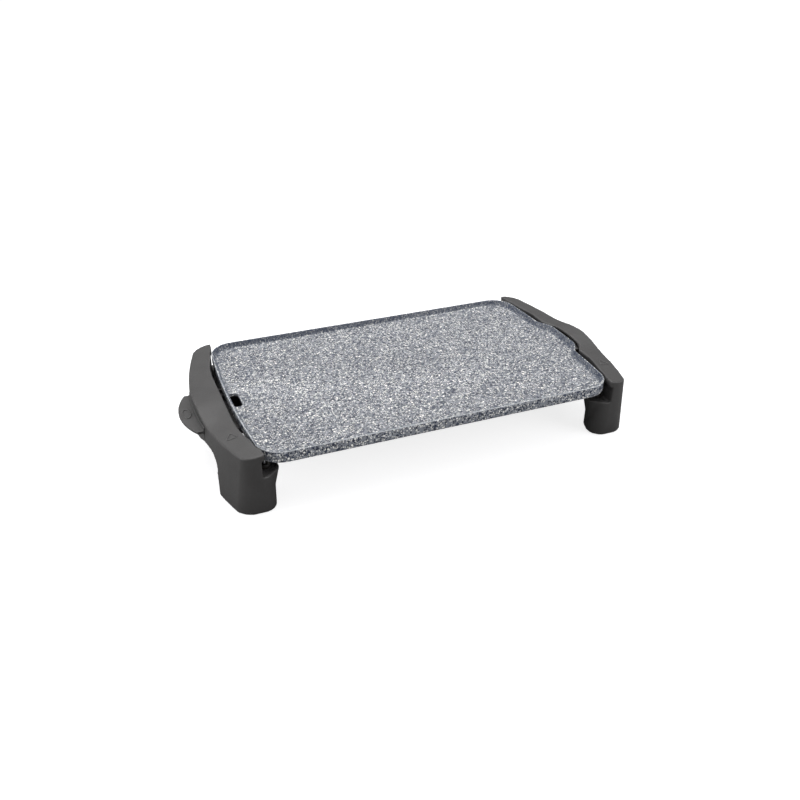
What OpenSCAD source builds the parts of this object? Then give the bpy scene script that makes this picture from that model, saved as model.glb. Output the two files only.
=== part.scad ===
// Electric griddle: a cast plate on two moulded end frames, with a slide-out drip tray at
// the left end and the inlet for a plug-in thermostat connector at the right end.
// Millimetres, +Z up, the plate's long side along X, z = 0 is the table.

/* [Plate] */
// Length of the plate across its bowed ends
plate_l = 436; // [400:1:470]
// Width of the plate, front edge to back edge
plate_w = 280; // [250:1:300]
// Corner radius of the plate
corner_r = 30; // [26:1:34]
// How far each end bows out beyond its corners
end_bow = 4.5; // [2:0.5:6]
// How far the rim swells out over the inlet
inlet_swell = 11; // [8:0.5:12]
// Top of the rim above the table
rim_top = 74; // [71:0.5:78]
// Height of the plate's side wall
plate_h = 14; // [13:0.5:15]
// Height of the rim above the cooking surface
rim_h = 7; // [5:0.5:8]
// Thickness of the rim
rim_t = 2.6; // [2.4:0.1:3.5]

/* [End frames] */
// Gap between the plate and an end frame
gap = 5.5; // [4:0.5:6]
// Reach of a frame from the plate's middle, at its top edge
frame_reach = 256.5; // [254:0.5:260]
// Radius of a frame's bowed outer face in plan
face_r = 390; // [350:5:430]
// How far the outer face flares outwards towards the table
face_flare = 5; // [3:0.5:6]
// Wall thickness of the mouldings
wall = 3; // [2.5:0.1:3.4]
// Height of the shelf under each plate corner
shelf_z = 47; // [45:0.5:48]
// Drop of the top face from its inner edge to its outer edge
top_drop = 6; // [4:0.5:7]
// Clear height of the arch beside each leg
arch_z = 46.5; // [44:0.5:47]

/* [Drip tray] */
// Width of the tray's front
tray_front_w = 89; // [80:1:92]
// Height of the tray's pull tab above the table
tab_z = 60; // [58:0.5:61]
// Reach of the pull tab beyond the frame's face
tab_reach = 18; // [14:0.5:20]

/* [Inlet] */
// Radius of a contact pin
pin_r = 3; // [2.5:0.1:3.2]
// Distance between the two contact pins
pin_pitch = 32; // [30:1:34]
// Radius of the probe's bore
probe_r = 3.5; // [3:0.1:4]

/* [Hidden] */
$fn = 64;

plastic = [0.20, 0.20, 0.21];
stone_coat = [0.50, 0.52, 0.56];
steel = [0.70, 0.70, 0.72];
nickel = [0.78, 0.77, 0.72];
ceramic = [0.90, 0.88, 0.82];
rubber = [0.08, 0.08, 0.08];

half_l = plate_l / 2;
half_w = plate_w / 2;
plate_z = rim_top - plate_h;       // lower edge of the side wall
cook_z = rim_top - rim_h;          // cooking surface
base_z = plate_z + 2.5;            // underside inside the side wall
corner_y = half_w - corner_r;      // corner centres, along Y
clear = 0.15;                      // clearance between fixed neighbours
big = 400;

tab_end = frame_reach + tab_reach; // the tray's pull tab is the leftmost point

// --- Plate ---------------------------------------------------------------------------

// Smooth step from 1 at a to 0 at b.
function ease(v, a, b) =
    let (u = min(1, max(0, (v - a) / (b - a)))) 1 - u * u * (3 - 2 * u);
// Half-length of the plate at a distance y from its middle line, without the swell.
function end_x(y) = half_l - end_bow * pow(y / corner_y, 2);
function swell(y) = inlet_swell * ease(abs(y), 25, 52);
// The bow meets each corner's arc at this angle, where both run the same way.
bow_angle = atan(2 * end_bow / corner_y);
corner_x = end_x(corner_y) - corner_r * cos(bow_angle);
bow_y = corner_y + corner_r * sin(bow_angle);

// One corner's arc, counter-clockwise, in the quadrant given by the signs.
function corner(sx, sy, d, steps = 10) = [
    for (i = [0 : steps])
        let (
            a = bow_angle + (90 - bow_angle) * (sx * sy > 0 ? i : steps - i) / steps,
            r = corner_r + d
        ) [sx * (corner_x + r * cos(a)), sy * (corner_y + r * sin(a))]
];
// Plate outline grown by d, counter-clockwise from the right end.
function plate_points(d) = concat(
    [for (y = [-100 : 10 : -60]) [end_x(y) + d, y]],
    [for (y = [-52 : 4 : 52]) [end_x(y) + swell(y) + d, y]],
    [for (y = [60 : 10 : 100]) [end_x(y) + d, y]],
    corner(1, 1, d), corner(-1, 1, d),
    [for (y = [100 : -10 : -100]) [-end_x(y) - d, y]],
    corner(-1, -1, d), corner(1, -1, d)
);
module plate_prism(d, z0, z1) {
    translate([0, 0, z0]) linear_extrude(z1 - z0) polygon(plate_points(d));
}

drain_x = -half_l + rim_t + 6.3;   // middle of the drain slot
drain_w = 11.5;
drain_l = 32;
drain_r = 3.5;
bolt_x = 206;                      // screws that hold the plate to the frames
bolt_y = 118;
boss_z = 52;                       // lower end of the plate's screw bosses

// Heating element: a tube of this radius pressed into a groove under the plate.
tube_r = 4;
tube_z = 56;
run_y = 78;                        // the two long runs
bend_r = 24;
turn_x = -128;                     // where the runs turn across
step_x = 170;                      // where the runs turn in to the inlet
pin_y = pin_pitch / 2;
tube_end = half_l + 3;

// Sweeps the half of the element's path at positive y; the child is its cross-section,
// centred on the origin, with its X across the path and its Y up.
module half_path() {
    module run(from, angle, length)
        translate(from) rotate([0, 0, angle]) rotate([90, 0, 90]) linear_extrude(length) children();
    module bend(centre, from)
        translate(centre) rotate([0, 0, from]) rotate_extrude(angle = 90) translate([bend_r, 0]) children();
    // across the left end
    run([turn_x - bend_r, 0, 0], 90, run_y - bend_r) children();
    bend([turn_x, run_y - bend_r, 0], 90) children();
    run([turn_x, run_y, 0], 0, step_x - turn_x - bend_r) children();
    bend([step_x - bend_r, run_y - bend_r, 0], 0) children();
    run([step_x, pin_y + bend_r, 0], 90, run_y - pin_y - 2 * bend_r) children();
    bend([step_x + bend_r, pin_y + bend_r, 0], 180) children();
    run([step_x + bend_r, pin_y, 0], 0, tube_end - step_x - bend_r) children();
}
module both_halves() {
    for (side = [0, 1]) mirror([0, side, 0]) children();
}

module drain_slot() {
    for (sy = [-1, 1]) for (sx = [-1, 1])
        translate([drain_x + sx * (drain_w / 2 - drain_r), sy * (drain_l / 2 - drain_r), 50])
            cylinder(r = drain_r, h = 40);
    translate([drain_x - drain_w / 2 + drain_r, -drain_l / 2, 50])
        cube([drain_w - 2 * drain_r, drain_l, 40]);
    translate([drain_x - drain_w / 2, -drain_l / 2 + drain_r, 50])
        cube([drain_w, drain_l - 2 * drain_r, 40]);
}
module each_bolt() {
    for (sx = [-1, 1]) for (sy = [-1, 1]) translate([sx * bolt_x, sy * bolt_y, 0]) children();
}

inlet_face = 226.5;                // face of the plate's inlet block
block_z = 48;
probe_z = 55;
probe_depth = 72;
bore_y = bolt_y;
guard_screw_x = 212;
guard_screw_y = 25;

module griddle_plate() color(stone_coat) {
    difference() {
        union() {
            difference() {
                plate_prism(0, plate_z, rim_top);
                plate_prism(-rim_t, cook_z, rim_top + 1);
                plate_prism(-rim_t - 1, plate_z - 1, base_z);
            }
            // ribs that carry the element
            both_halves() translate([0, 0, 57.5]) half_path() square([16, 11], center = true);
            each_bolt() translate([0, 0, boss_z]) cylinder(r = 6, h = base_z + 1 - boss_z);
            // inlet block and the tunnel for the probe
            translate([198, -30, block_z]) cube([inlet_face - 198, 60, base_z + 1 - block_z]);
            translate([inlet_face - probe_depth - 6, -7.5, block_z])
                cube([probe_depth, 15, base_z + 1 - block_z]);
        }
        // groove for the element, open downwards
        both_halves() translate([0, 0, (block_z - 1 + tube_z) / 2])
            half_path() square([2 * tube_r + 2 * clear, tube_z - block_z + 1], center = true);
        both_halves() translate([0, 0, tube_z]) half_path() circle(r = tube_r + clear);
        // the groove's end takes the terminal bush
        both_halves() translate([inlet_face - 5, pin_y, tube_z])
            rotate([0, 90, 0]) cylinder(r = 5.2, h = 8);
        drain_slot();
        each_bolt() translate([0, 0, boss_z - 1]) cylinder(r = 2.1, h = 10);
        translate([inlet_face - probe_depth, 0, probe_z]) rotate([0, 90, 0])
            cylinder(r = probe_r, h = probe_depth + 1);
        for (sy = [-1, 1]) translate([guard_screw_x, sy * guard_screw_y, block_z - 1])
            cylinder(r = 1.6, h = 9);
    }
}

module heating_element() color(steel)
    both_halves() translate([0, 0, tube_z]) half_path() circle(r = tube_r);

// --- Inlet ---------------------------------------------------------------------------

bush_x = tube_end + 0.8;
bush_l = 9;
shank_r = 2.4;                     // thinner root of a pin, inside its bush
pin_x0 = tube_end + 1;
pin_x1 = bush_x + bush_l + 1.9;    // shoulder, just clear of the bush
pin_end = 247;
guard_x0 = half_l + inlet_swell + 0.7;
guard_x1 = 249;
guard_y = 31;
guard_z0 = 44;
guard_z1 = 65.5;
guard_t = 1.5;

module terminal_bush(sy) color(ceramic)
    translate([bush_x, sy * pin_y, tube_z]) rotate([0, 90, 0]) difference() {
        union() {
            cylinder(r = 4.9, h = bush_l);
            translate([0, 0, bush_l]) cylinder(r1 = 4.9, r2 = 4, h = 1.5);
        }
        translate([0, 0, -1]) cylinder(r = shank_r + 0.05, h = bush_l + 4);
    }
module contact_pin(sy) color(nickel)
    translate([pin_x0, sy * pin_y, tube_z]) rotate([0, 90, 0]) {
        cylinder(r = shank_r, h = pin_x1 - pin_x0 + 1);
        translate([0, 0, pin_x1 - pin_x0]) cylinder(r = pin_r, h = pin_end - pin_r - pin_x1);
        translate([0, 0, pin_end - pin_x0 - pin_r]) intersection() {
            sphere(r = pin_r);
            cylinder(r = pin_r + 1, h = pin_r + 1);
        }
    }

module inlet_guard() color(steel) {
    difference() {
        translate([guard_x0, -guard_y, guard_z0])
            cube([guard_x1 - guard_x0, 2 * guard_y, guard_z1 - guard_z0]);
        translate([guard_x0 + guard_t, -guard_y + guard_t, guard_z0 + guard_t])
            cube([big, 2 * (guard_y - guard_t), guard_z1 - guard_z0 - 2 * guard_t]);
        for (sy = [-1, 1]) translate([guard_x0 - 1, sy * pin_y, tube_z])
            rotate([0, 90, 0]) cylinder(r = 5.4, h = 5);
        translate([guard_x0 - 1, 0, probe_z]) rotate([0, 90, 0]) cylinder(r = 5, h = 5);
    }
    // ears under the plate's inlet block
    for (sy = [-1, 1]) difference() {
        translate([204, sy * guard_screw_y - 5.5, block_z - clear - guard_t])
            cube([guard_x0 + guard_t - 204, 11, guard_t]);
        translate([guard_screw_x, sy * guard_screw_y, 40]) cylinder(r = 1.8, h = 10);
    }
}
module earth_strip() color(nickel)
    translate([guard_x0 + guard_t + clear, -7, guard_z0 + guard_t + 0.02]) difference() {
        cube([14, 14, 1]);
        translate([10, 7, -1]) cylinder(r = 1.5, h = 3);
    }
module guard_screws() color(steel)
    for (sy = [-1, 1]) translate([guard_screw_x, sy * guard_screw_y, 0]) {
        ear_z = block_z - clear - guard_t;
        translate([0, 0, ear_z - 2.2 - clear]) cylinder(r = 3, h = 2.2);
        translate([0, 0, ear_z - 1]) cylinder(r = 1.5, h = 8);
    }

// --- End frames ----------------------------------------------------------------------
// Built at the left end, x < 0; t insets every face, for the hollow inside.

hump_rise = 1.3;                   // outer edge above the inner edge, at the middle
hump_r = 172;                      // radius of the hump, seen from the end
top_z = rim_top - 0.3;             // inner edge of the top face
inner_x = half_l + gap;
top_run = frame_reach - inner_x;
open_z = -1;

// Everything below the top face: a plane that falls outwards, and a low round hump across it.
module below_top(t) {
    angle = atan(top_drop / top_run);
    rise = atan(hump_rise / top_run);
    translate([-inner_x, 0, top_z - t]) rotate([0, -angle, 0])
        translate([-100, -200, -120]) cube([200, 400, 120]);
    translate([-inner_x, 0, top_z - t]) rotate([0, rise, 0]) translate([-100, 0, -hump_r])
        rotate([0, 90, 0]) cylinder(r = hump_r, h = 200, $fn = 180);
}
// Inside the bowed, slightly flared outer face.
module within_face(t) {
    translate([face_r - frame_reach, 0, open_z])
        cylinder(r1 = face_r + face_flare - t, r2 = face_r - t, h = rim_top - 5, $fn = 360);
    translate([face_r - frame_reach, 0, open_z + rim_top - 5])
        cylinder(r = face_r - t, h = 20, $fn = 360);
}
// Discs that bound a leg at the table, at the shelf and at the top: [x, y, radius]. The outer
// disc of each level runs smoothly into the bowed face.
leg_top = 80;
leg_discs = [
    [open_z, [[213, 121, 16], [221.3, 115, 22]]],
    [shelf_z, [[213, 122.5, 16], [218.4, 119, 20]]],
    [leg_top, [[213.5, 137.5, 4], [216, 121.5, 20]]]
];
leg_back = [[226, 92, 6], [257, 91, 5]];   // the same at every level
flare_z = 14;                      // the inner flare of each leg starts here
module leg(sy, t) {
    hull() for (level = leg_discs) for (disc = concat(level[1], leg_back))
        translate([-disc[0], sy * disc[1], level[0]]) cylinder(r = disc[2] - t, h = 1, $fn = 72);
    // flare under the plate's corner
    translate([-bolt_x, sy * bolt_y, flare_z])
        cylinder(r1 = 8 - t, r2 = 15.5 - t, h = shelf_z - t - flare_z);
}

// Inner edge of the top face: it sweeps in round the plate's corners.
edge_sweep = 14.5;
function inner_edge(y) = inner_x - edge_sweep * (1 - ease(abs(y), 62, 145));
// Everything inboard of that edge, and never short of x = least.
module inboard(t, least, z0, z1) translate([0, 0, z0]) linear_extrude(z1 - z0)
    polygon(concat([[0, -150]],
        [for (y = [-150 : 10 : 150]) [-max(inner_edge(y), least) - t, y]], [[0, 150]]));
notch_x = 213;                     // side wall of the notch over each shelf
notch_top = 68;

// The arch between the legs, lower over the middle where the tray or the inlet sits.
arch_half = 80.8;
arch_dip = 12;
arch_r = 18;
arch_spread = 5.5;                 // how much wider the arch is at its foot, each side
// Lower edge of the moulding over the middle of the arch.
function dip_z(y) = arch_z - arch_dip * ease(abs(y), 4, 54);
module along_x(length) rotate([90, 0, 90]) linear_extrude(length, center = true) children();
module arch(t = 0) {
    side = [for (a = [0 : 10 : 90])
        [arch_half + t - arch_r * (1 - cos(a)), arch_z + t - arch_r * (1 - sin(a))]];
    middle = [for (y = [56 : -4 : -56]) [y, dip_z(y) + t]];
    other = [for (i = [len(side) - 1 : -1 : 0]) [-side[i][0], side[i][1]]];
    foot = arch_half + t + arch_spread;
    along_x(600) polygon(concat([[foot, -5]], side, middle, other, [[-foot, -5]]));
}
frame_z = 1;                       // lower edge of the mouldings; the feet reach 0
core_y = 93;                       // the legs take over from the middle part here
strip_y = 105;                     // and from the part above the shelves here
corner_gap = 1.5;                  // least gap round the plate's corners
module frame_blank(t) {
    difference() {
        intersection() {
            within_face(t);
            below_top(t);
            union() {
                leg(1, t);
                leg(-1, t);
                translate([-280, t - core_y, open_z]) cube([80, 2 * (core_y - t), 100]);
                translate([-280, t - strip_y, shelf_z + t]) cube([80, 2 * (strip_y - t), 60]);
            }
        }
        inboard(t, 0, shelf_z - t, 120);
        inboard(t, notch_x, shelf_z - t, notch_top + t);
        plate_prism(corner_gap + t, shelf_z - t, 120);
        // between the legs the inner wall runs down to the arch
        intersection() {
            inboard(t, 0, open_z - 5, shelf_z);
            translate([-250, -core_y - t, open_z - 5]) cube([100, 2 * (core_y + t), 100]);
        }
    }
}

post_r = 7.5;                      // post inside each leg, around the screw's access hole
post_hole = 5;
module each_leg_end() {
    for (sy = [-1, 1]) translate([-bolt_x, sy * bolt_y, 0]) children();
}
module end_frame() {
    difference() {
        union() {
            difference() {
                frame_blank(0);
                // the hollow stays clear of the arch's lining
                difference() {
                    frame_blank(wall);
                    arch(wall);
                }
            }
            each_leg_end() translate([0, 0, frame_z])
                cylinder(r = post_r, h = shelf_z - wall + 1 - frame_z);
        }
        arch();
        each_leg_end() translate([0, 0, -5]) cylinder(r = post_hole, h = shelf_z - wall + 5);
        each_leg_end() translate([0, 0, 30]) cylinder(r = 2.4, h = 30);
        translate([-300, -200, -20]) cube([200, 400, 20 + frame_z]);
    }
}

// The tray's bay passes through the outer face, the arch's lining and the inner wall.
bay_y = tray_front_w / 2 + 0.7;
bay_z0 = 25;
bay_z1 = 65;
tray_x1 = -174;                    // inner end of the tray
rail_y0 = 42.6;
rail_y1 = 48.5;
rail_z0 = 50;
rail_z1 = 52.4;
rail_x0 = -frame_reach + 6.5;
rail_l = tray_x1 - 1 - rail_x0;
module left_end_frame() color(plastic) {
    difference() {
        end_frame();
        translate([-300, -bay_y, bay_z0]) cube([300 - inner_x - wall - 4, 2 * bay_y, bay_z1 - bay_z0]);
        translate([-inner_x - wall - 8, -rail_y1 + 1, bay_z0])
            cube([40, 2 * rail_y1 - 2, 58 - bay_z0]);
    }
    // rails for the tray's side flanges, carried by the inner and outer walls
    both_halves() {
        translate([rail_x0, rail_y0, rail_z0]) cube([rail_l, rail_y1 - rail_y0, rail_z1 - rail_z0]);
        translate([rail_x0, rail_y1 - 1.5, rail_z0]) cube([rail_l, 3, 58.5 - rail_z0]);
        translate([rail_x0 - 4, rail_y1 - 0.5, rail_z0]) cube([10, 2.4, 8.5]);
    }
}
module right_end_frame() color(plastic)
    difference() {
        mirror([1, 0, 0]) end_frame();
        // the plate's swell and the inlet guard reach in through the inner wall
        intersection() {
            plate_prism(gap, shelf_z, 120);
            translate([150, -60, shelf_z]) cube([100, 120, 100]);
        }
        translate([inner_x - 10, -guard_y - 1, guard_z0 - 1])
            cube([80, 2 * guard_y + 2, guard_z1 - guard_z0 + 2]);
    }

// --- Drip tray -----------------------------------------------------------------------

tray_y = 41.5;
tray_z1 = 53.2;
tray_t = 1.8;
tab_t = 3.5;
face_t = 3.6;
lip_r = 83;
// Section of the pan: its floor follows the moulding's lower edge; t insets it.
module pan_section(t) {
    floor_line = [for (y = [-tray_y + t : (tray_y - t) / 10 : tray_y - t + 0.1])
        [y, dip_z(y) + 0.8 + t]];
    polygon(concat(floor_line, [[tray_y - t, tray_z1 + t], [-tray_y + t, tray_z1 + t]]));
}
module bowed(r0, r1) translate([face_r - frame_reach, 0, 20]) difference() {
    cylinder(r = r1, h = 60, $fn = 360);
    if (r0 > 0) translate([0, 0, -1]) cylinder(r = r0, h = 62, $fn = 360);
}
module drip_tray() color(plastic) {
    intersection() {
        bowed(0, face_r);
        difference() {
            union() {
                translate([tray_x1 - 200, 0, 0]) along_x(400) pan_section(0);
                translate([-frame_reach + 2, -tray_front_w / 2, rail_z1 + 0.3])
                    cube([tray_x1 + frame_reach - 2, tray_front_w, tray_z1 - rail_z1 - 0.3]);
            }
            translate([tray_x1 - tray_t - 200, 0, 0]) along_x(400) pan_section(tray_t);
        }
    }
    // bowed front, its lower edge in line with the moulding's
    intersection() {
        bowed(face_r + 1 - face_t, face_r + 1);
        translate([-260, 0, 0]) along_x(60) polygon(concat(
            [for (y = [-1 : 0.1 : 1.01]) [y * tray_front_w / 2, dip_z(y * tray_front_w / 2)]],
            [[tray_front_w / 2, bay_z1 - 0.6], [-tray_front_w / 2, bay_z1 - 0.6]]
        ));
    }
    // pull tab: a lens-shaped lip
    intersection() {
        translate([lip_r - tab_end, 0, tab_z - tab_t]) cylinder(r = lip_r, h = tab_t, $fn = 180);
        translate([-tab_end - 1, -tray_front_w / 2 + 0.5, tab_z - tab_t])
            cube([tab_reach + 3, tray_front_w - 1, tab_t]);
    }
}

// --- Fixings and feet ----------------------------------------------------------------

module at_bolt(sx, sy) translate([sx * bolt_x, sy * bolt_y, 0]) children();
module spacer(sx, sy) color(plastic) at_bolt(sx, sy)
    translate([0, 0, shelf_z + 0.02]) difference() {
        cylinder(r = 6, h = boss_z - shelf_z - 0.04);
        translate([0, 0, -1]) cylinder(r = 2.4, h = 10);
    }
washer_z = shelf_z - wall - 1.02;
module frame_screw(sx, sy) color(steel) at_bolt(sx, sy) {
    translate([0, 0, washer_z - 2.8]) difference() {
        cylinder(r = 4, h = 2.8);
        translate([-3, -0.5, -1]) cube([6, 1, 2]);
        translate([-0.5, -3, -1]) cube([1, 6, 2]);
    }
    translate([0, 0, washer_z - 0.5]) cylinder(r = 2, h = 16);
}
module screw_washers() color(steel) each_bolt()
    translate([0, 0, washer_z + 0.01]) difference() {
        cylinder(r = 4.6, h = 1);
        translate([0, 0, -1]) cylinder(r = 2.3, h = 4);
    }
module foot(sx, sy) color(rubber) at_bolt(sx, sy) {
    cylinder(r1 = 6.8, r2 = 7.2, h = frame_z - 0.02);
    cylinder(r = post_hole - 0.1, h = 8);
}

// --- Assembly ------------------------------------------------------------------------

// The rightmost point is the lower edge of the right frame's face, at the middle. The
// assembly is moved along X so that its footprint is centred on the origin.
right_reach = frame_reach + face_flare * (1 - (dip_z(0) - open_z) / (rim_top - 5));
shift_x = (tab_end - right_reach) / 2;
module placed() translate([shift_x, 0, 0]) children();

placed() griddle_plate();
placed() heating_element();
placed() terminal_bush(-1);  // front_terminal_bush
placed() terminal_bush(1);  // rear_terminal_bush
placed() contact_pin(-1);  // front_contact_pin
placed() contact_pin(1);  // rear_contact_pin
placed() inlet_guard();
placed() earth_strip();
placed() guard_screws();
placed() left_end_frame();
placed() right_end_frame();
placed() drip_tray();
placed() spacer(-1, -1);  // front_left_spacer
placed() spacer(-1, 1);  // rear_left_spacer
placed() spacer(1, -1);  // front_right_spacer
placed() spacer(1, 1);  // rear_right_spacer
placed() frame_screw(-1, -1);  // front_left_screw
placed() frame_screw(-1, 1);  // rear_left_screw
placed() frame_screw(1, -1);  // front_right_screw
placed() frame_screw(1, 1);  // rear_right_screw
placed() screw_washers();
placed() foot(-1, -1);  // front_left_foot
placed() foot(-1, 1);  // rear_left_foot
placed() foot(1, -1);  // front_right_foot
placed() foot(1, 1);  // rear_right_foot
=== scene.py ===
import math
import bpy
import bmesh
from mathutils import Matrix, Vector


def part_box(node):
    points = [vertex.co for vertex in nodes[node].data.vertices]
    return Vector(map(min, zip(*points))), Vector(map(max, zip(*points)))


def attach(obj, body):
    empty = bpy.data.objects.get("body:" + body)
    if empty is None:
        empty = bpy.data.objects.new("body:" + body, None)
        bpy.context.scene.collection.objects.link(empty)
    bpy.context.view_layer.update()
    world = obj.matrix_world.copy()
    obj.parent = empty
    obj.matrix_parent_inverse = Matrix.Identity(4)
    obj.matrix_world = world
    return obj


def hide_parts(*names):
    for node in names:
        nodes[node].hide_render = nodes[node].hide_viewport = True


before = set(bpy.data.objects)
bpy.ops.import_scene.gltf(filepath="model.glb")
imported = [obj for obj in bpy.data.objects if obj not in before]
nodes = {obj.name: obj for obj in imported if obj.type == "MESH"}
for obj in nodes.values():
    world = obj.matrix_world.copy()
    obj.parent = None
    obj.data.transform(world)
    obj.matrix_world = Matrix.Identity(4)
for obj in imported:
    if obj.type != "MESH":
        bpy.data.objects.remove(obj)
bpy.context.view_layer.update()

# --- Camera ---------------------------------------------------------------------------
# The view of someone standing in front of the griddle, a little towards its left end. Its
# place is measured from the middle of the plate, without the swell of the rim at the inlet.
rim_swell = 0.011
plate_low, plate_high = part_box("griddle_plate")
plate_x = (plate_low.x + plate_high.x - rim_swell) / 2
camera = bpy.data.objects.new("camera", bpy.data.cameras.new("camera"))
bpy.context.scene.collection.objects.link(camera)
camera.data.sensor_width = 36
camera.data.lens = 39.51
camera.location = (plate_x - 0.3634, -0.8932, 0.5671)
aim = Vector((plate_x - 0.01264, -0.02316, 0.03739))
camera.rotation_mode = "QUATERNION"
camera.rotation_quaternion = (aim - camera.location).to_track_quat("-Z", "Y")
bpy.context.scene.camera = camera
bpy.context.scene.view_settings.view_transform = "Standard"

# --- Studio ---------------------------------------------------------------------------
# A plain white sweep under one large overhead light, with weaker lights from the front right
# and the left. The sweep throws little light back up, so the sides of the object stay dark.
def new_object(name, vertices, faces):
    mesh = bpy.data.meshes.new(name)
    mesh.from_pydata(vertices, [], faces)
    mesh.update()
    piece = bpy.data.objects.new(name, mesh)
    bpy.context.scene.collection.objects.link(piece)
    return piece

half_sweep = 20
corners = [(x * half_sweep, y * half_sweep, 0) for x, y in ((-1, -1), (1, -1), (1, 1), (-1, 1))]
floor = new_object("floor", corners, [(0, 1, 2, 3)])
white = bpy.data.materials.new("white_sweep")
white.use_nodes = True
links = white.node_tree.links
seen = white.node_tree.nodes["Principled BSDF"]
seen.inputs["Base Color"].default_value = (0.45, 0.45, 0.46, 1)
seen.inputs["Roughness"].default_value = 0.9
seen.inputs["Specular IOR Level"].default_value = 0.0
seen.inputs["Emission Color"].default_value = (1, 1, 1, 1)
seen.inputs["Emission Strength"].default_value = 0.8
bounce = white.node_tree.nodes.new("ShaderNodeBsdfDiffuse")
bounce.inputs["Color"].default_value = (0.3, 0.3, 0.3, 1)
ray = white.node_tree.nodes.new("ShaderNodeLightPath")
chosen = white.node_tree.nodes.new("ShaderNodeMixShader")
links.new(ray.outputs["Is Camera Ray"], chosen.inputs[0])
links.new(bounce.outputs[0], chosen.inputs[1])
links.new(seen.outputs[0], chosen.inputs[2])
links.new(chosen.outputs[0], white.node_tree.nodes["Material Output"].inputs["Surface"])
floor.data.materials.append(white)

def soft_light(name, place, size, power):
    lamp = bpy.data.lights.new(name, "AREA")
    lamp.shape = "RECTANGLE"
    lamp.size, lamp.size_y = size
    lamp.energy = power
    holder = bpy.data.objects.new(name, lamp)
    bpy.context.scene.collection.objects.link(holder)
    holder.location = place
    holder.rotation_euler = (-Vector(place)).to_track_quat("-Z", "Y").to_euler()

soft_light("overhead", (0.05, 0.5, 1.6), (1.8, 1.4), 28)
soft_light("front_fill", (1.1, -1.1, 0.75), (1.0, 0.6), 9)
soft_light("left_fill", (-1.7, 0.2, 0.5), (1.2, 0.8), 13)

# the sky is brighter above than at the horizon, and looks plain white behind the object
world = bpy.data.worlds.new("studio")
bpy.context.scene.world = world
world.use_nodes = True
sky = world.node_tree
height = sky.nodes.new("ShaderNodeSeparateXYZ")
sky.links.new(sky.nodes.new("ShaderNodeTexCoord").outputs["Generated"], height.inputs[0])
fall = sky.nodes.new("ShaderNodeMapRange")
fall.inputs["To Min"].default_value = 0.3
fall.inputs["To Max"].default_value = 0.75
sky.links.new(height.outputs["Z"], fall.inputs["Value"])
sky.nodes["Background"].inputs[0].default_value = (1, 1, 1, 1)
sky.links.new(fall.outputs[0], sky.nodes["Background"].inputs[1])
backdrop = sky.nodes.new("ShaderNodeBackground")
backdrop.inputs[0].default_value = (1, 1, 1, 1)
seen_sky = sky.nodes.new("ShaderNodeMixShader")
sky.links.new(sky.nodes.new("ShaderNodeLightPath").outputs["Is Camera Ray"], seen_sky.inputs[0])
sky.links.new(sky.nodes["Background"].outputs[0], seen_sky.inputs[1])
sky.links.new(backdrop.outputs[0], seen_sky.inputs[2])
sky.links.new(seen_sky.outputs[0], sky.nodes["World Output"].inputs["Surface"])

# --- Griddle plate: coated body ---------------------------------------------------------
# Cast aluminium, sprayed with a speckled stone-look coating on top and down its sides. The
# rim is rounded, its inner wall slopes to the cooking surface, and fat leaves by one slot.
def new_material(name, colour, roughness, metallic=0.0):
    made = bpy.data.materials.new(name)
    made.use_nodes = True
    tree = made.node_tree
    shader = tree.nodes["Principled BSDF"]
    shader.inputs["Base Color"].default_value = (*colour, 1)
    shader.inputs["Roughness"].default_value = roughness
    shader.inputs["Metallic"].default_value = metallic
    where = tree.nodes.new("ShaderNodeTexCoord")
    return made, tree, shader, where

def noise(tree, where, scale, detail=3.0, roughness=0.5):
    node = tree.nodes.new("ShaderNodeTexNoise")
    node.inputs["Scale"].default_value = scale
    node.inputs["Detail"].default_value = detail
    node.inputs["Roughness"].default_value = roughness
    tree.links.new(where, node.inputs["Vector"])
    return node.outputs["Fac"]

def ramp(tree, value, stops, steps=False):
    node = tree.nodes.new("ShaderNodeValToRGB")
    bar = node.color_ramp
    bar.interpolation = "CONSTANT" if steps else "LINEAR"
    while len(bar.elements) < len(stops):
        bar.elements.new(0.5)
    for element, (place, colour) in zip(bar.elements, stops):
        element.position = place
        element.color = (*colour, 1) if len(colour) == 3 else (colour[0],) * 3 + (1,)
    tree.links.new(value, node.inputs["Fac"])
    return node.outputs["Color"]

def mixed(tree, factor, first, second, blend="MIX"):
    node = tree.nodes.new("ShaderNodeMix")
    node.data_type = "RGBA"
    node.blend_type = blend
    colour_in = [s for s in node.inputs if s.type == "RGBA"]
    for socket, source in ((node.inputs[0], factor), (colour_in[0], first), (colour_in[1], second)):
        if hasattr(source, "is_output"):
            tree.links.new(source, socket)
        elif isinstance(source, tuple):
            socket.default_value = (*source, 1)
        else:
            socket.default_value = source
    return [s for s in node.outputs if s.type == "RGBA"][0]

def bumped(tree, shader, height, distance, strength=1.0):
    node = tree.nodes.new("ShaderNodeBump")
    node.inputs["Strength"].default_value = strength
    node.inputs["Distance"].default_value = distance
    tree.links.new(height, node.inputs["Height"])
    tree.links.new(node.outputs["Normal"], shader.inputs["Normal"])

def tone(*levels):
    """Linear colour of three display levels, 0 to 255."""
    return tuple(((v / 255 + 0.055) / 1.055) ** 2.4 if v > 10 else v / 3294 for v in levels)

stone, tree, shader, coords = new_material("stone_coating", (0.3, 0.31, 0.34), 0.42)
object_place = coords.outputs["Object"]
wobble = tree.nodes.new("ShaderNodeTexNoise")
wobble.inputs["Scale"].default_value = 700
wobble.inputs["Detail"].default_value = 2
tree.links.new(object_place, wobble.inputs["Vector"])
wobbled = tree.nodes.new("ShaderNodeVectorMath")
wobbled.operation = "MULTIPLY_ADD"
wobbled.inputs[1].default_value = (0.0011, 0.0011, 0.0011)
tree.links.new(wobble.outputs["Color"], wobbled.inputs[0])
tree.links.new(object_place, wobbled.inputs[2])

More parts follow.
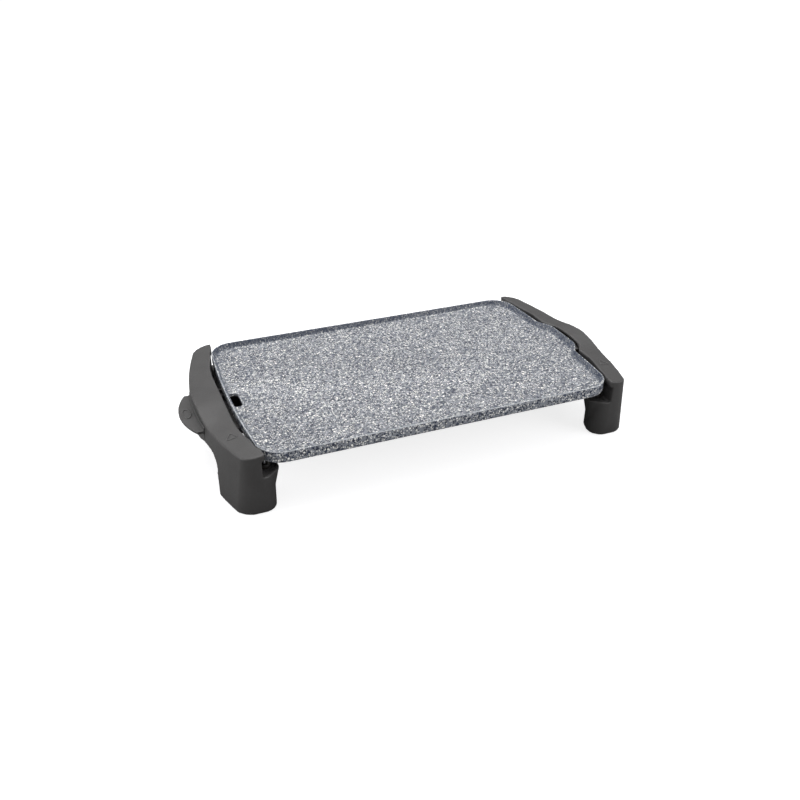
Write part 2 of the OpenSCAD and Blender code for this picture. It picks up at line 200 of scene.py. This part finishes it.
def product(tree, *values):
    """Multiplies values, each a socket or a number."""
    result = values[0]
    for value in values[1:]:
        node = tree.nodes.new("ShaderNodeMath")
        node.operation = "MULTIPLY"
        tree.links.new(result, node.inputs[0])
        if hasattr(value, "is_output"):
            tree.links.new(value, node.inputs[1])
        else:
            node.inputs[1].default_value = value
        result = node.outputs[0]
    return result

def flecks(scale, share, size, shift):
    """Mask of scattered flecks: cells per metre, share of cells used, size within a cell."""
    moved = tree.nodes.new("ShaderNodeVectorMath")
    moved.inputs[1].default_value = (shift, shift * 0.7, shift * 0.3)
    tree.links.new(wobbled.outputs[0], moved.inputs[0])
    node = tree.nodes.new("ShaderNodeTexVoronoi")
    node.inputs["Scale"].default_value = scale
    tree.links.new(moved.outputs[0], node.inputs["Vector"])
    split = tree.nodes.new("ShaderNodeSeparateColor")
    tree.links.new(node.outputs["Color"], split.inputs[0])
    used = ramp(tree, split.outputs[0], [(0.0, (1.0,)), (share, (0.0,))], steps=True)
    near = ramp(tree, node.outputs["Distance"], [(size, (1.0,)), (size + 0.1, (0.0,))])
    return product(tree, near, used)

# a mottled grey base, then flecks of dark and pale, from coarse to fine
speckled = ramp(tree, noise(tree, object_place, 1300, 2), [
    (0.35, tone(98, 102, 111)), (0.65, tone(138, 141, 146))])
for scale, share, size, shift, shade in (
        (220, 0.44, 0.41, 0.31, tone(54, 61, 78)), (240, 0.30, 0.34, 0.83, tone(172, 174, 178)),
        (430, 0.62, 0.38, 0.17, tone(30, 35, 48)), (450, 0.52, 0.34, 0.57, tone(212, 211, 206)),
        (300, 0.12, 0.30, 0.71, tone(240, 238, 232)), (520, 0.30, 0.36, 0.43, tone(38, 45, 60))):
    speckled = mixed(tree, flecks(scale, share, size, shift), speckled, shade)
cloudy = mixed(tree, 0.3, speckled, ramp(
    tree, noise(tree, object_place, 60), [(0.3, (0.75,)), (0.7, (1.15,))]), "MULTIPLY")
# the rim's inner wall is darkened towards navy as painted shade, its steep outer wall is lightened
# as painted light, and its outer top edge gets a pale painted highlight that also stands for rubbed
# coating
facing = tree.nodes.new("ShaderNodeSeparateXYZ")
tree.links.new(coords.outputs["Normal"], facing.inputs[0])
outward = tree.nodes.new("ShaderNodeVectorMath")
outward.operation = "DOT_PRODUCT"
tree.links.new(object_place, outward.inputs[0])
tree.links.new(coords.outputs["Normal"], outward.inputs[1])
outside = ramp(tree, product(tree, outward.outputs["Value"], 10.0), [(0.05, (0.0,)), (0.5, (1.0,))])
inner_wall_shade_mask = ramp(tree, product(tree, outward.outputs["Value"], -10.0), [(0.05, (0.0,)), (0.4, (1.0,))])
steep = ramp(tree, facing.outputs["Z"], [(0.1, (1.0,)), (0.75, (0.0,))])
edge = ramp(tree, facing.outputs["Z"], [(0.15, (0.0,)), (0.5, (1.0,)), (0.9, (1.0,)), (0.99, (0.0,))])
# painted shade: the rim's inner wall darkened towards navy
coating_with_painted_light = mixed(tree, product(tree, inner_wall_shade_mask, 0.65), cloudy, tone(58, 66, 82))
# painted light: the steep outer wall of the rim lightened by a quarter
painted_wall_light = mixed(tree, 1.0, coating_with_painted_light, (1.25, 1.26, 1.28), "MULTIPLY")
coating_with_painted_light = mixed(tree, product(tree, steep, outside), coating_with_painted_light, painted_wall_light)
# painted highlight along the rim's outer top edge, which also stands for rubbed coating
coating_with_painted_light = mixed(tree, product(tree, edge, outside, 0.7), coating_with_painted_light, tone(205, 209, 214))
tree.links.new(coating_with_painted_light, shader.inputs["Base Color"])
tree.links.new(ramp(tree, noise(tree, object_place, 400), [(0.3, (0.36,)), (0.7, (0.52,))]),
               shader.inputs["Roughness"])
bumped(tree, shader, noise(tree, object_place, 900), 0.00012)

half_length = (plate_high.x - plate_low.x - rim_swell) / 2
half_width = (plate_high.y - plate_low.y) / 2
corner_radius = 0.030
bow = 0.0045
swell_flat = 0.025
swell_end = 0.052
corner_y = half_width - corner_radius
bow_angle = math.atan(2 * bow / corner_y)
corner_x = half_length - bow - corner_radius * math.cos(bow_angle)
bow_end = corner_y + corner_radius * math.sin(bow_angle)

def smooth_step(value, start, end):
    u = min(1.0, max(0.0, (value - start) / (end - start)))
    return u * u * (3 - 2 * u)

def plate_outline():
    """Points and outward directions round the plate, counter-clockwise from the right end."""
    end_steps, corner_steps, side_steps = 90, 16, 40
    right = []
    for i in range(end_steps):
        y = -bow_end + 2 * bow_end * i / end_steps
        swell = rim_swell * (1 - smooth_step(abs(y), swell_flat, swell_end))
        right.append((half_length - bow * (y / corner_y) ** 2 + swell, y))
    arc = []
    for i in range(corner_steps + 1):
        turn = bow_angle + (math.pi / 2 - bow_angle) * i / corner_steps
        arc.append((corner_x + corner_radius * math.cos(turn), corner_y + corner_radius * math.sin(turn)))
    back = [(corner_x - 2 * corner_x * i / side_steps, half_width) for i in range(1, side_steps)]
    left_arc = [(-x, y) for x, y in reversed(arc)]
    left = [(-half_length + bow * (y / corner_y) ** 2, y)
            for y in [bow_end - 2 * bow_end * i / end_steps for i in range(1, end_steps)]]
    points = right + arc + back + left_arc + left
    points += [(x, -y) for x, y in reversed(left_arc)] + [(-x, -y) for x, y in back]
    points += [(x, -y) for x, y in reversed(arc)]
    points = points[:-1]
    result = []
    for i, (x, y) in enumerate(points):
        (x0, y0), (x1, y1) = points[i - 1], points[(i + 1) % len(points)]
        length = math.hypot(x1 - x0, y1 - y0)
        result.append((x, y, (y1 - y0) / length, -(x1 - x0) / length))
    return result

def lofted(name, outline, section):
    """Closed solid from an outline's rings; a ring is (how far outwards, height)."""
    vertices = [(plate_x + x + nx * out, y + ny * out, z)
                for out, z in section for x, y, nx, ny in outline]
    n = len(outline)
    last = (len(section) - 1) * n
    faces = [(r + i, r + (i + 1) % n, r + n + (i + 1) % n, r + n + i)
             for r in range(0, last, n) for i in range(n)]
    faces += [tuple(range(n - 1, -1, -1)), tuple(range(last, last + n))]
    return new_object(name, vertices, faces)

def smoothed(piece, angle=0.6):
    """Shades the piece smooth, apart from edges sharper than the angle."""
    for face in piece.data.polygons:
        face.use_smooth = True
    edges = bmesh.new()
    edges.from_mesh(piece.data)
    for edge in edges.edges:
        if len(edge.link_faces) == 2 and edge.calc_face_angle(0) > angle:
            edge.smooth = False
    edges.to_mesh(piece.data)
    edges.free()

def combined(piece, tool, operation):
    """Applies one boolean operation to the piece and drops the tool."""
    step = piece.modifiers.new("cut", "BOOLEAN")
    step.operation = operation
    step.object = tool
    step.solver = "EXACT"
    graph = bpy.context.evaluated_depsgraph_get()
    mesh = bpy.data.meshes.new_from_object(piece.evaluated_get(graph))
    piece.modifiers.clear()
    piece.data = mesh
    bpy.data.objects.remove(tool)

rim_top = plate_high.z
wall_low = rim_top - 0.014
cook_z = rim_top - 0.007
underside = rim_top - 0.0115
outline = plate_outline()
section = [(-0.0040, underside + 0.0006), (-0.0036, wall_low + 0.0010), (-0.0031, wall_low + 0.0002),
           (-0.0024, wall_low), (-0.0016, wall_low), (-0.0008, wall_low + 0.0004),
           (-0.0003, wall_low + 0.0011), (0.0, wall_low + 0.0024), (0.0, rim_top - 0.0013),
           (-0.0002, rim_top - 0.0006), (-0.0006, rim_top - 0.0001), (-0.0011, rim_top),
           (-0.0017, rim_top), (-0.0022, rim_top - 0.0004), (-0.0026, rim_top - 0.0012),
           (-0.0034, cook_z + 0.0022), (-0.0041, cook_z + 0.0010), (-0.0052, cook_z + 0.0003),
           (-0.0068, cook_z)]
body = lofted("plate_body", outline, section)

slot_x = -half_length + 0.0089
slot_length = 0.032
slot_width = 0.0115
slot_corner = 0.0035

def slot_outline(steps=8):
    """Points and outward directions round the drain slot, counter-clockwise."""
    points = []
    for quarter, (sx, sy) in enumerate(((1, 1), (-1, 1), (-1, -1), (1, -1))):
        for i in range(steps + 1):
            a = math.pi / 2 * (quarter + i / steps)
            points.append((slot_x + sx * (slot_width / 2 - slot_corner) + slot_corner * math.cos(a),
                           sy * (slot_length / 2 - slot_corner) + slot_corner * math.sin(a),
                           math.cos(a), math.sin(a)))
    return points

# the cutter widens at the cooking surface, which eases the slot's upper edge
cutter = lofted("slot_cutter", slot_outline(), [
    (0.0, underside - 0.003), (0.0, cook_z - 0.0007), (0.0003, cook_z - 0.0002),
    (0.0008, cook_z + 0.00002), (0.0012, cook_z + 0.004)])
combined(body, cutter, "DIFFERENCE")
smoothed(body)
body.data.materials.clear()
body.data.materials.append(stone)
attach(body, "griddle")
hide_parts("griddle_plate")

# --- Griddle plate: bare underside -------------------------------------------------------
# The same casting below the coating: the ribs that carry the element, the screw bosses, the
# inlet block and the probe's tunnel. Bare cast metal, browned where the element heats it, and kept
# far darker than bare aluminium as painted shade under the plate.
# painted shade: the whole underside kept dark, with a random brown heat tint over it
bare, tree, shader, coords = new_material("bare_casting", tone(84, 82, 79), 0.6, 0.6)
heat_tint_and_shade = ramp(tree, noise(tree, coords.outputs["Object"], 25), [
    (0.35, tone(72, 67, 61)), (0.7, tone(96, 95, 93))])
grain = ramp(tree, noise(tree, coords.outputs["Object"], 1200), [(0.3, (0.8,)), (0.7, (1.0,))])
tree.links.new(mixed(tree, 1.0, heat_tint_and_shade, grain, "MULTIPLY"), shader.inputs["Base Color"])
tree.links.new(ramp(tree, noise(tree, coords.outputs["Object"], 200), [(0.3, (0.42,)), (0.7, (0.62,))]),
               shader.inputs["Roughness"])
bumped(tree, shader, noise(tree, coords.outputs["Object"], 1500), 0.0001)

def merged_copy(node, name):
    """A copy of a CAD node with its loose triangles joined up and no material."""
    copy = bpy.data.objects.new(name, nodes[node].data.copy())
    bpy.context.scene.collection.objects.link(copy)
    mesh = bmesh.new()
    mesh.from_mesh(copy.data)
    bmesh.ops.remove_doubles(mesh, verts=mesh.verts, dist=1e-6)
    bmesh.ops.recalc_face_normals(mesh, faces=mesh.faces)
    mesh.to_mesh(copy.data)
    mesh.free()
    copy.data.materials.clear()
    return copy

# the part of the casting that is kept: inside the side wall, up to just within the coated body
inset = -0.0060
under = merged_copy("griddle_plate", "plate_underside")
keep = lofted("keep", outline, [(inset, underside - 0.020), (inset, underside + 0.0012)])
combined(under, keep, "INTERSECT")
smoothed(under, 0.5)
under.data.materials.clear()
under.data.materials.append(bare)
soft = under.modifiers.new("soft_edges", "BEVEL")
soft.width = 0.0004
soft.segments = 2
soft.limit_method = "ANGLE"
soft.angle_limit = 0.8
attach(under, "griddle")
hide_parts("griddle_plate")

# --- Heating element ---------------------------------------------------------------------
# A steel tube packed with wire and powder, bent to a loop and pressed into the groove. Its
# sheath is blued and browned by heat.
sheath, tree, shader, coords = new_material("element_sheath", tone(96, 88, 84), 0.38, 1.0)
blued = ramp(tree, noise(tree, coords.outputs["Object"], 30), [
    (0.3, tone(88, 78, 72)), (0.5, tone(112, 100, 90)), (0.7, tone(84, 88, 100))])
tree.links.new(blued, shader.inputs["Base Color"])
bumped(tree, shader, noise(tree, coords.outputs["Object"], 1800), 0.00005)

def dress(node, material, width=0.0, segments=2):
    """Gives a CAD node its material and, with a width, live softened edges."""
    for holder in nodes[node].material_slots:
        holder.material = material
    if width:
        weld = nodes[node].modifiers.new("weld", "WELD")
        weld.merge_threshold = 0.00001
        edge = nodes[node].modifiers.new("soft_edges", "BEVEL")
        edge.width = width
        edge.segments = segments
        edge.limit_method = "ANGLE"
        edge.angle_limit = 0.7
        edge.harden_normals = True

dress("heating_element", sheath)

# --- Terminal bushes ---------------------------------------------------------------------
# Two bushes that insulate the element's ends where they leave the inlet block. Pressed and
# fired ceramic, left unglazed.
clay, tree, shader, coords = new_material("bush_ceramic", tone(232, 226, 212), 0.7)
tree.links.new(ramp(tree, noise(tree, coords.outputs["Object"], 300), [
    (0.3, tone(214, 205, 188)), (0.7, tone(238, 233, 222))]), shader.inputs["Base Color"])
bumped(tree, shader, noise(tree, coords.outputs["Object"], 2500), 0.00005)
for node in ("front_terminal_bush", "rear_terminal_bush"):
    dress(node, clay, 0.0003)

# --- Contact pins ------------------------------------------------------------------------
# The two pins that the connector pushes onto, one welded to each end of the element. Turned
# from rod and nickel plated, with fine turning marks round them.
nickel, tree, shader, coords = new_material("nickel", tone(214, 210, 198), 0.22, 1.0)
lathe = tree.nodes.new("ShaderNodeMapping")
lathe.inputs["Scale"].default_value = (12, 0.4, 0.4)
tree.links.new(coords.outputs["Object"], lathe.inputs["Vector"])
marks = noise(tree, lathe.outputs["Vector"], 500)
tree.links.new(ramp(tree, marks, [(0.35, (0.18,)), (0.65, (0.34,))]), shader.inputs["Roughness"])
tree.links.new(ramp(tree, noise(tree, coords.outputs["Object"], 220), [
    (0.3, tone(198, 192, 176)), (0.7, tone(220, 217, 208))]), shader.inputs["Base Color"])
bumped(tree, shader, marks, 0.00002)
for node in ("front_contact_pin", "rear_contact_pin"):
    dress(node, nickel, 0.0003)

# --- Inlet guard -------------------------------------------------------------------------
# A box that shields the pins and guides the connector. Folded from bright steel sheet, and
# held under the plate by two screws.
sheet, tree, shader, coords = new_material("guard_sheet", tone(178, 178, 180), 0.32, 1.0)
rolled = tree.nodes.new("ShaderNodeMapping")
rolled.inputs["Scale"].default_value = (1, 0.05, 1)
tree.links.new(coords.outputs["Object"], rolled.inputs["Vector"])
lines = noise(tree, rolled.outputs["Vector"], 1600)
tree.links.new(ramp(tree, lines, [(0.3, (0.26,)), (0.7, (0.42,))]), shader.inputs["Roughness"])
tree.links.new(ramp(tree, noise(tree, coords.outputs["Object"], 60), [
    (0.3, tone(160, 158, 156)), (0.7, tone(190, 190, 192))]), shader.inputs["Base Color"])
bumped(tree, shader, lines, 0.00003)
dress("inlet_guard", sheet, 0.0003)

# --- Earth strip and guard screws --------------------------------------------------------
# The strip is nickel-plated spring metal in the guard's floor, which the connector's earth
# contact rubs on. The two small zinc-plated screws hold the guard to the casting.
dress("earth_strip", nickel, 0.0002)
zinc, tree, shader, coords = new_material("zinc", tone(186, 188, 192), 0.3, 1.0)
tree.links.new(ramp(tree, noise(tree, coords.outputs["Object"], 500), [
    (0.3, tone(166, 168, 170)), (0.7, tone(198, 200, 204))]), shader.inputs["Base Color"])
tree.links.new(ramp(tree, noise(tree, coords.outputs["Object"], 900), [(0.3, (0.24,)), (0.7, (0.4,))]),
               shader.inputs["Roughness"])
bumped(tree, shader, noise(tree, coords.outputs["Object"], 2500), 0.00002)
dress("guard_screws", zinc, 0.0003)

# --- End frames --------------------------------------------------------------------------
# Heat-proof plastic, moulded hollow and open below, one for each end. The faces have a fine
# spark-eroded texture, every edge is softly rounded, and a low hump swells out of the middle
# of each top face.
moulded, tree, shader, coords = new_material("moulded_plastic", tone(56, 55, 55), 0.5)
shade = ramp(tree, noise(tree, coords.outputs["Object"], 40), [
    (0.3, tone(54, 53, 53)), (0.7, tone(60, 59, 59))])
# painted highlight: the frames' edges, found by their pointiness, are lightened
shape_info = tree.nodes.new("ShaderNodeNewGeometry")
edges = ramp(tree, shape_info.outputs["Pointiness"], [(0.52, (0.0,)), (0.60, (1.0,))])
painted_edge_highlight = mixed(tree, edges, shade, tone(80, 79, 79))
tree.links.new(painted_edge_highlight, shader.inputs["Base Color"])
tree.links.new(ramp(tree, noise(tree, coords.outputs["Object"], 900), [(0.3, (0.46,)), (0.7, (0.58,))]),
               shader.inputs["Roughness"])
bumped(tree, shader, noise(tree, coords.outputs["Object"], 2400, 2), 0.00008, 0.7)

def remoulded(node, name, voxel, passes):
    """A copy of a CAD node with all its edges rounded as in a mould."""
    copy = merged_copy(node, name)
    grid = copy.modifiers.new("grid", "REMESH")
    grid.mode = "VOXEL"
    grid.voxel_size = voxel
    relax = copy.modifiers.new("relax", "SMOOTH")
    relax.factor = 0.5
    relax.iterations = passes
    graph = bpy.context.evaluated_depsgraph_get()
    mesh = bpy.data.meshes.new_from_object(copy.evaluated_get(graph))
    copy.modifiers.clear()
    copy.data = mesh
    for face in mesh.polygons:
        face.use_smooth = True
    mesh.materials.clear()
    mesh.materials.append(moulded)
    return copy

frame_top = rim_top - 0.0003
top_edge = 0.2235
top_run = 0.033
top_drop = 0.006

def top_face(x, y):
    """Height of a frame's top face, which falls by top_drop over its width, top_run."""
    return frame_top - (abs(x - plate_x) - top_edge) * top_drop / top_run

def eased_hump(piece):
    """Blends the low hump over the middle of a frame into the slope of its top face."""
    hump_rise, hump_radius, hump_reach, blend = 0.0013, 0.172, 0.12, 0.005
    skin, under_skin, fade = 0.0012, 0.0026, 0.015
    for vertex in piece.data.vertices:
        x, y, z = vertex.co
        out = abs(x - plate_x) - top_edge
        if out < 0 or abs(y) > hump_reach:
            continue
        slope = top_face(x, y)
        hump = frame_top + out * hump_rise / top_run - hump_radius + math.sqrt(hump_radius ** 2 - y ** 2)
        near = max(0.0, 1 - abs(slope - hump) / blend)
        depth = max(slope, hump) - z
        share = min(1.0, max(0.0, (under_skin - depth) / (under_skin - skin))) * min(1.0, out / fade)
        vertex.co.z += near ** 2 * blend / 4 * share

for side in ("left", "right"):
    moulding = remoulded(side + "_end_frame", side + "_moulding", 0.0011, 7)
    eased_hump(moulding)
    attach(moulding, "griddle")
    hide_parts(side + "_end_frame")

# --- Raised triangles on the frames --------------------------------------------------------
# A plain triangular outline, moulded with each frame near the front end of its top face: a
# fine bead that follows the outline, half sunk in the face.
def bead_tree():
    """Geometry nodes that sweep a bead of round section along a path."""
    tree = bpy.data.node_groups.new("raised_bead", "GeometryNodeTree")
    sockets = tree.interface
    for name, kind in (("Path", "Geometry"), ("Bead radius", "Float"), ("Corner radius", "Float"),
                       ("Sides", "Int"), ("Finish", "Material")):
        sockets.new_socket(name, in_out="INPUT", socket_type="NodeSocket" + kind)
    sockets.new_socket("Bead", in_out="OUTPUT", socket_type="NodeSocketGeometry")
    given, made = tree.nodes.new("NodeGroupInput"), tree.nodes.new("NodeGroupOutput")
    path = tree.nodes.new("GeometryNodeMeshToCurve")
    corners = tree.nodes.new("GeometryNodeFilletCurve")
    section = tree.nodes.new("GeometryNodeCurvePrimitiveCircle")
    sweep = tree.nodes.new("GeometryNodeCurveToMesh")
    real = tree.nodes.new("GeometryNodeRealizeInstances")
    finish = tree.nodes.new("GeometryNodeSetMaterial")
    corners.mode = "POLY"
    corners.inputs["Count"].default_value = 4
    for source, target in (
            (given.outputs["Path"], path.inputs["Mesh"]),
            (path.outputs["Curve"], corners.inputs["Curve"]),
            (given.outputs["Corner radius"], corners.inputs["Radius"]),
            (given.outputs["Sides"], section.inputs["Resolution"]),
            (given.outputs["Bead radius"], section.inputs["Radius"]),
            (corners.outputs["Curve"], sweep.inputs["Curve"]),
            (section.outputs["Curve"], sweep.inputs["Profile Curve"]),
            (sweep.outputs["Mesh"], real.inputs["Geometry"]),
            (real.outputs["Geometry"], finish.inputs["Geometry"]),
            (given.outputs["Finish"], finish.inputs["Material"]),
            (finish.outputs["Geometry"], made.inputs["Bead"])):
        tree.links.new(source, target)
    return tree

bead = bead_tree()

def raised_bead(name, points, radius, corner, sunk, lift):
    """A bead along the closed path, its middle sunk below the height lift(x, y)."""
    piece = new_object(name, [(x, y, lift(x, y) - sunk) for x, y in points], [])
    piece.data.edges.add(len(points))
    for i, edge in enumerate(piece.data.edges):
        edge.vertices = (i, (i + 1) % len(points))
    step = piece.modifiers.new("bead", "NODES")
    step.node_group = bead
    values = {"Bead radius": radius, "Corner radius": corner, "Sides": 12, "Finish": moulded}
    for socket in bead.interface.items_tree:
        if socket.name in values:
            step[socket.identifier] = values[socket.name]
    graph = bpy.context.evaluated_depsgraph_get()
    mesh = bpy.data.meshes.new_from_object(piece.evaluated_get(graph))
    piece.modifiers.clear()
    piece.data = mesh
    closed = bmesh.new()
    closed.from_mesh(mesh)
    bmesh.ops.remove_doubles(closed, verts=closed.verts, dist=1e-6)
    bmesh.ops.recalc_face_normals(closed, faces=closed.faces)
    closed.to_mesh(mesh)
    closed.free()
    for face in mesh.polygons:
        face.use_smooth = True
    return piece

triangle_radius = 0.0075
triangle_x = 0.2325
triangle_y = -0.0875
tips = [math.pi / 2 + math.tau * i / 3 for i in range(3)]
for side, sign in (("left", -1), ("right", 1)):
    points = [(plate_x + sign * triangle_x + triangle_radius * math.cos(a),
               triangle_y + triangle_radius * math.sin(a)) for a in tips]
    mark = raised_bead(side + "_triangle", points, 0.0009, 0.0012, 0.0001, top_face)
    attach(mark, "griddle")
    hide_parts(side + "_end_frame")

# --- Drip tray ---------------------------------------------------------------------------
# One moulding of the same plastic: the pan, its bowed front and the lens-shaped pull tab,
# with an oval bead on the tab. It slides on rails inside the left frame.
tray = remoulded("drip_tray", "tray_moulding", 0.0008, 6)
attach(tray, "tray")
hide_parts("drip_tray")
tab_x = -0.2660
tab_top = 0.0600
turns = [math.tau * i / 48 for i in range(48)]
oval = [(plate_x + tab_x + 0.0045 * math.cos(a), 0.0103 * math.sin(a)) for a in turns]
ring = raised_bead("tab_ring", oval, 0.0010, 0.0, 0.0, lambda x, y: tab_top)
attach(ring, "tray")
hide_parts("drip_tray")

# --- Spacers, frame screws and washers ----------------------------------------------------
# Black phenolic spacers keep the hot plate off the frames; zinc-plated screws reach up
# through the legs, each with a washer, and hold all three together.
phenolic, tree, shader, coords = new_material("phenolic", tone(30, 28, 27), 0.45)
tree.links.new(ramp(tree, noise(tree, coords.outputs["Object"], 500), [
    (0.3, tone(26, 24, 23)), (0.7, tone(40, 37, 35))]), shader.inputs["Base Color"])
bumped(tree, shader, noise(tree, coords.outputs["Object"], 1800), 0.00004)
for end in ("front", "rear"):
    for side in ("left", "right"):
        dress(f"{end}_{side}_spacer", phenolic, 0.0004)
        dress(f"{end}_{side}_screw", zinc, 0.0003)
dress("screw_washers", zinc, 0.0002)

# --- Feet --------------------------------------------------------------------------------
# Soft black rubber plugs, pushed up into the screw holes of the legs. They hide the screws
# and keep the griddle from sliding.
rubber, tree, shader, coords = new_material("rubber", tone(30, 30, 31), 0.75)
tree.links.new(ramp(tree, noise(tree, coords.outputs["Object"], 150), [
    (0.3, tone(26, 26, 27)), (0.7, tone(38, 38, 38))]), shader.inputs["Base Color"])
bumped(tree, shader, noise(tree, coords.outputs["Object"], 1500), 0.00006)
for end in ("front", "rear"):
    for side in ("left", "right"):
        dress(f"{end}_{side}_foot", rubber, 0.0006)
